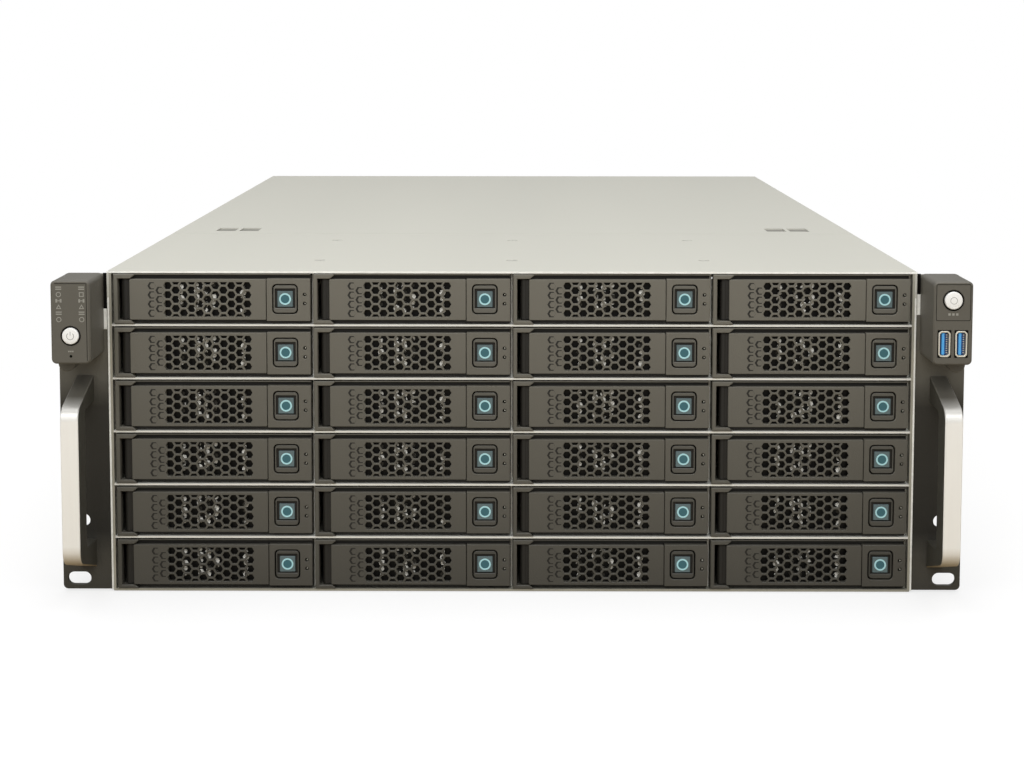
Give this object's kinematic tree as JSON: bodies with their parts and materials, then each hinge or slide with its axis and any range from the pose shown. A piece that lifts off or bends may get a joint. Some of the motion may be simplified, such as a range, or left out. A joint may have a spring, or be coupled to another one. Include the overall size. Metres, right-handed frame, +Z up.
{
  "type": "rackmount server case",
  "caption": "Rackmount storage server case with a grid of hot-swap drive trays, lever latches, rack ears, pull handles and a sliding rear cover.",
  "frame": {"origin": "midway between the sides on the case's underside, in the plane where the rack ears meet the rack's posts", "axes": "+X to the right seen from the front, +Y towards the rear, +Z up"},
  "size_m": [0.4826, 0.7165, 0.173],
  "materials": {
    "galvanised_sheet": "galvanised sheet steel",
    "cage_sheet": "zinc plated sheet with bright cut edges",
    "roof_sheet": "light grey satin sheet",
    "ear_paint": "dark grey powder coat",
    "handle_aluminium": "satin aluminium",
    "pod_plastic": "fine textured moulding",
    "tray_plastic": "fine textured moulding",
    "lever_plastic": "fine textured moulding",
    "circuit_board": "solder resist",
    "fan_plastic": "moulded glass-filled plastic",
    "button_white": "translucent white cap"
  },
  "bodies": {
    "chassis": {"base_pan": "galvanised_sheet", "rear_panel": "galvanised_sheet", "drive_cage": "cage_sheet", "backplanes": "circuit_board", "front_roof": "roof_sheet", "rack_ears": "ear_paint", "pull_handles": "handle_aluminium", "control_pods": "pod_plastic", "fan_wall": "fan_plastic"},
    "rear_cover": {"rear_cover": "roof_sheet"},
    "power_button": {"power_button": "button_white"},
    "uid_button": {"uid_button": "button_white"},
    "tray_r1c1": {"tray_r1c1": "tray_plastic"},
    "lever_r1c1": {"lever_r1c1": "lever_plastic"},
    "tray_r1c2": {"tray_r1c2": "tray_plastic"},
    "lever_r1c2": {"lever_r1c2": "lever_plastic"},
    "tray_r1c3": {"tray_r1c3": "tray_plastic"},
    "lever_r1c3": {"lever_r1c3": "lever_plastic"},
    "tray_r1c4": {"tray_r1c4": "tray_plastic"},
    "lever_r1c4": {"lever_r1c4": "lever_plastic"},
    "tray_r2c1": {"tray_r2c1": "tray_plastic"},
    "lever_r2c1": {"lever_r2c1": "lever_plastic"},
    "tray_r2c2": {"tray_r2c2": "tray_plastic"},
    "lever_r2c2": {"lever_r2c2": "lever_plastic"},
    "tray_r2c3": {"tray_r2c3": "tray_plastic"},
    "lever_r2c3": {"lever_r2c3": "lever_plastic"},
    "tray_r2c4": {"tray_r2c4": "tray_plastic"},
    "lever_r2c4": {"lever_r2c4": "lever_plastic"},
    "tray_r3c1": {"tray_r3c1": "tray_plastic"},
    "lever_r3c1": {"lever_r3c1": "lever_plastic"},
    "tray_r3c2": {"tray_r3c2": "tray_plastic"},
    "lever_r3c2": {"lever_r3c2": "lever_plastic"},
    "tray_r3c3": {"tray_r3c3": "tray_plastic"},
    "lever_r3c3": {"lever_r3c3": "lever_plastic"},
    "tray_r3c4": {"tray_r3c4": "tray_plastic"},
    "lever_r3c4": {"lever_r3c4": "lever_plastic"},
    "tray_r4c1": {"tray_r4c1": "tray_plastic"},
    "lever_r4c1": {"lever_r4c1": "lever_plastic"},
    "tray_r4c2": {"tray_r4c2": "tray_plastic"},
    "lever_r4c2": {"lever_r4c2": "lever_plastic"},
    "tray_r4c3": {"tray_r4c3": "tray_plastic"},
    "lever_r4c3": {"lever_r4c3": "lever_plastic"},
    "tray_r4c4": {"tray_r4c4": "tray_plastic"},
    "lever_r4c4": {"lever_r4c4": "lever_plastic"},
    "tray_r5c1": {"tray_r5c1": "tray_plastic"},
    "lever_r5c1": {"lever_r5c1": "lever_plastic"},
    "tray_r5c2": {"tray_r5c2": "tray_plastic"},
    "lever_r5c2": {"lever_r5c2": "lever_plastic"},
    "tray_r5c3": {"tray_r5c3": "tray_plastic"},
    "lever_r5c3": {"lever_r5c3": "lever_plastic"},
    "tray_r5c4": {"tray_r5c4": "tray_plastic"},
    "lever_r5c4": {"lever_r5c4": "lever_plastic"},
    "tray_r6c1": {"tray_r6c1": "tray_plastic"},
    "lever_r6c1": {"lever_r6c1": "lever_plastic"},
    "tray_r6c2": {"tray_r6c2": "tray_plastic"},
    "lever_r6c2": {"lever_r6c2": "lever_plastic"},
    "tray_r6c3": {"tray_r6c3": "tray_plastic"},
    "lever_r6c3": {"lever_r6c3": "lever_plastic"},
    "tray_r6c4": {"tray_r6c4": "tray_plastic"},
    "lever_r6c4": {"lever_r6c4": "lever_plastic"}
  },
  "joints": [
    {"name": "cover_slide", "type": "slide", "parent": "chassis", "child": "rear_cover", "axis": [0, 1, 0], "range_m": [0, 0.49]},
    {"name": "power_button_press", "type": "slide", "parent": "chassis", "child": "power_button", "axis": [0, 1, 0], "range_m": [0, 0.001], "stiffness_N_per_m": 400, "springref_m": -0.0005},
    {"name": "uid_button_press", "type": "slide", "parent": "chassis", "child": "uid_button", "axis": [0, 1, 0], "range_m": [0, 0.001], "stiffness_N_per_m": 400, "springref_m": -0.0005},
    {"name": "tray_slide_r1c1", "type": "slide", "parent": "chassis", "child": "tray_r1c1", "axis": [0, -1, 0], "range_m": [0, 0.17]},
    {"name": "lever_hinge_r1c1", "type": "hinge", "parent": "tray_r1c1", "child": "lever_r1c1", "pos_m": [-0.20528, -0.0013, 0.1583], "axis": [0, 0, -1], "range_deg": [0, 60]},
    {"name": "tray_slide_r1c2", "type": "slide", "parent": "chassis", "child": "tray_r1c2", "axis": [0, -1, 0], "range_m": [0, 0.17]},
    {"name": "lever_hinge_r1c2", "type": "hinge", "parent": "tray_r1c2", "child": "lever_r1c2", "pos_m": [-0.09922, -0.0013, 0.1583], "axis": [0, 0, -1], "range_deg": [0, 60]},
    {"name": "tray_slide_r1c3", "type": "slide", "parent": "chassis", "child": "tray_r1c3", "axis": [0, -1, 0], "range_m": [0, 0.17]},
    {"name": "lever_hinge_r1c3", "type": "hinge", "parent": "tray_r1c3", "child": "lever_r1c3", "pos_m": [0.00683, -0.0013, 0.1583], "axis": [0, 0, -1], "range_deg": [0, 60]},
    {"name": "tray_slide_r1c4", "type": "slide", "parent": "chassis", "child": "tray_r1c4", "axis": [0, -1, 0], "range_m": [0, 0.17]},
    {"name": "lever_hinge_r1c4", "type": "hinge", "parent": "tray_r1c4", "child": "lever_r1c4", "pos_m": [0.11288, -0.0013, 0.1583], "axis": [0, 0, -1], "range_deg": [0, 60]},
    {"name": "tray_slide_r2c1", "type": "slide", "parent": "chassis", "child": "tray_r2c1", "axis": [0, -1, 0], "range_m": [0, 0.17]},
    {"name": "lever_hinge_r2c1", "type": "hinge", "parent": "tray_r2c1", "child": "lever_r2c1", "pos_m": [-0.20528, -0.0013, 0.1296], "axis": [0, 0, -1], "range_deg": [0, 60]},
    {"name": "tray_slide_r2c2", "type": "slide", "parent": "chassis", "child": "tray_r2c2", "axis": [0, -1, 0], "range_m": [0, 0.17]},
    {"name": "lever_hinge_r2c2", "type": "hinge", "parent": "tray_r2c2", "child": "lever_r2c2", "pos_m": [-0.09922, -0.0013, 0.1296], "axis": [0, 0, -1], "range_deg": [0, 60]},
    {"name": "tray_slide_r2c3", "type": "slide", "parent": "chassis", "child": "tray_r2c3", "axis": [0, -1, 0], "range_m": [0, 0.17]},
    {"name": "lever_hinge_r2c3", "type": "hinge", "parent": "tray_r2c3", "child": "lever_r2c3", "pos_m": [0.00683, -0.0013, 0.1296], "axis": [0, 0, -1], "range_deg": [0, 60]},
    {"name": "tray_slide_r2c4", "type": "slide", "parent": "chassis", "child": "tray_r2c4", "axis": [0, -1, 0], "range_m": [0, 0.17]},
    {"name": "lever_hinge_r2c4", "type": "hinge", "parent": "tray_r2c4", "child": "lever_r2c4", "pos_m": [0.11288, -0.0013, 0.1296], "axis": [0, 0, -1], "range_deg": [0, 60]},
    {"name": "tray_slide_r3c1", "type": "slide", "parent": "chassis", "child": "tray_r3c1", "axis": [0, -1, 0], "range_m": [0, 0.17]},
    {"name": "lever_hinge_r3c1", "type": "hinge", "parent": "tray_r3c1", "child": "lever_r3c1", "pos_m": [-0.20528, -0.0013, 0.1009], "axis": [0, 0, -1], "range_deg": [0, 60]},
    {"name": "tray_slide_r3c2", "type": "slide", "parent": "chassis", "child": "tray_r3c2", "axis": [0, -1, 0], "range_m": [0, 0.17]},
    {"name": "lever_hinge_r3c2", "type": "hinge", "parent": "tray_r3c2", "child": "lever_r3c2", "pos_m": [-0.09922, -0.0013, 0.1009], "axis": [0, 0, -1], "range_deg": [0, 60]},
    {"name": "tray_slide_r3c3", "type": "slide", "parent": "chassis", "child": "tray_r3c3", "axis": [0, -1, 0], "range_m": [0, 0.17]},
    {"name": "lever_hinge_r3c3", "type": "hinge", "parent": "tray_r3c3", "child": "lever_r3c3", "pos_m": [0.00683, -0.0013, 0.1009], "axis": [0, 0, -1], "range_deg": [0, 60]},
    {"name": "tray_slide_r3c4", "type": "slide", "parent": "chassis", "child": "tray_r3c4", "axis": [0, -1, 0], "range_m": [0, 0.17]},
    {"name": "lever_hinge_r3c4", "type": "hinge", "parent": "tray_r3c4", "child": "lever_r3c4", "pos_m": [0.11288, -0.0013, 0.1009], "axis": [0, 0, -1], "range_deg": [0, 60]},
    {"name": "tray_slide_r4c1", "type": "slide", "parent": "chassis", "child": "tray_r4c1", "axis": [0, -1, 0], "range_m": [0, 0.17]},
    {"name": "lever_hinge_r4c1", "type": "hinge", "parent": "tray_r4c1", "child": "lever_r4c1", "pos_m": [-0.20528, -0.0013, 0.0722], "axis": [0, 0, -1], "range_deg": [0, 60]},
    {"name": "tray_slide_r4c2", "type": "slide", "parent": "chassis", "child": "tray_r4c2", "axis": [0, -1, 0], "range_m": [0, 0.17]},
    {"name": "lever_hinge_r4c2", "type": "hinge", "parent": "tray_r4c2", "child": "lever_r4c2", "pos_m": [-0.09922, -0.0013, 0.0722], "axis": [0, 0, -1], "range_deg": [0, 60]},
    {"name": "tray_slide_r4c3", "type": "slide", "parent": "chassis", "child": "tray_r4c3", "axis": [0, -1, 0], "range_m": [0, 0.17]},
    {"name": "lever_hinge_r4c3", "type": "hinge", "parent": "tray_r4c3", "child": "lever_r4c3", "pos_m": [0.00683, -0.0013, 0.0722], "axis": [0, 0, -1], "range_deg": [0, 60]},
    {"name": "tray_slide_r4c4", "type": "slide", "parent": "chassis", "child": "tray_r4c4", "axis": [0, -1, 0], "range_m": [0, 0.17]},
    {"name": "lever_hinge_r4c4", "type": "hinge", "parent": "tray_r4c4", "child": "lever_r4c4", "pos_m": [0.11288, -0.0013, 0.0722], "axis": [0, 0, -1], "range_deg": [0, 60]},
    {"name": "tray_slide_r5c1", "type": "slide", "parent": "chassis", "child": "tray_r5c1", "axis": [0, -1, 0], "range_m": [0, 0.17]},
    {"name": "lever_hinge_r5c1", "type": "hinge", "parent": "tray_r5c1", "child": "lever_r5c1", "pos_m": [-0.20528, -0.0013, 0.0435], "axis": [0, 0, -1], "range_deg": [0, 60]},
    {"name": "tray_slide_r5c2", "type": "slide", "parent": "chassis", "child": "tray_r5c2", "axis": [0, -1, 0], "range_m": [0, 0.17]},
    {"name": "lever_hinge_r5c2", "type": "hinge", "parent": "tray_r5c2", "child": "lever_r5c2", "pos_m": [-0.09922, -0.0013, 0.0435], "axis": [0, 0, -1], "range_deg": [0, 60]},
    {"name": "tray_slide_r5c3", "type": "slide", "parent": "chassis", "child": "tray_r5c3", "axis": [0, -1, 0], "range_m": [0, 0.17]},
    {"name": "lever_hinge_r5c3", "type": "hinge", "parent": "tray_r5c3", "child": "lever_r5c3", "pos_m": [0.00683, -0.0013, 0.0435], "axis": [0, 0, -1], "range_deg": [0, 60]},
    {"name": "tray_slide_r5c4", "type": "slide", "parent": "chassis", "child": "tray_r5c4", "axis": [0, -1, 0], "range_m": [0, 0.17]},
    {"name": "lever_hinge_r5c4", "type": "hinge", "parent": "tray_r5c4", "child": "lever_r5c4", "pos_m": [0.11288, -0.0013, 0.0435], "axis": [0, 0, -1], "range_deg": [0, 60]},
    {"name": "tray_slide_r6c1", "type": "slide", "parent": "chassis", "child": "tray_r6c1", "axis": [0, -1, 0], "range_m": [0, 0.17]},
    {"name": "lever_hinge_r6c1", "type": "hinge", "parent": "tray_r6c1", "child": "lever_r6c1", "pos_m": [-0.20528, -0.0013, 0.0148], "axis": [0, 0, -1], "range_deg": [0, 60]},
    {"name": "tray_slide_r6c2", "type": "slide", "parent": "chassis", "child": "tray_r6c2", "axis": [0, -1, 0], "range_m": [0, 0.17]},
    {"name": "lever_hinge_r6c2", "type": "hinge", "parent": "tray_r6c2", "child": "lever_r6c2", "pos_m": [-0.09922, -0.0013, 0.0148], "axis": [0, 0, -1], "range_deg": [0, 60]},
    {"name": "tray_slide_r6c3", "type": "slide", "parent": "chassis", "child": "tray_r6c3", "axis": [0, -1, 0], "range_m": [0, 0.17]},
    {"name": "lever_hinge_r6c3", "type": "hinge", "parent": "tray_r6c3", "child": "lever_r6c3", "pos_m": [0.00683, -0.0013, 0.0148], "axis": [0, 0, -1], "range_deg": [0, 60]},
    {"name": "tray_slide_r6c4", "type": "slide", "parent": "chassis", "child": "tray_r6c4", "axis": [0, -1, 0], "range_m": [0, 0.17]},
    {"name": "lever_hinge_r6c4", "type": "hinge", "parent": "tray_r6c4", "child": "lever_r6c4", "pos_m": [0.11288, -0.0013, 0.0148], "axis": [0, 0, -1], "range_deg": [0, 60]}
  ]
}
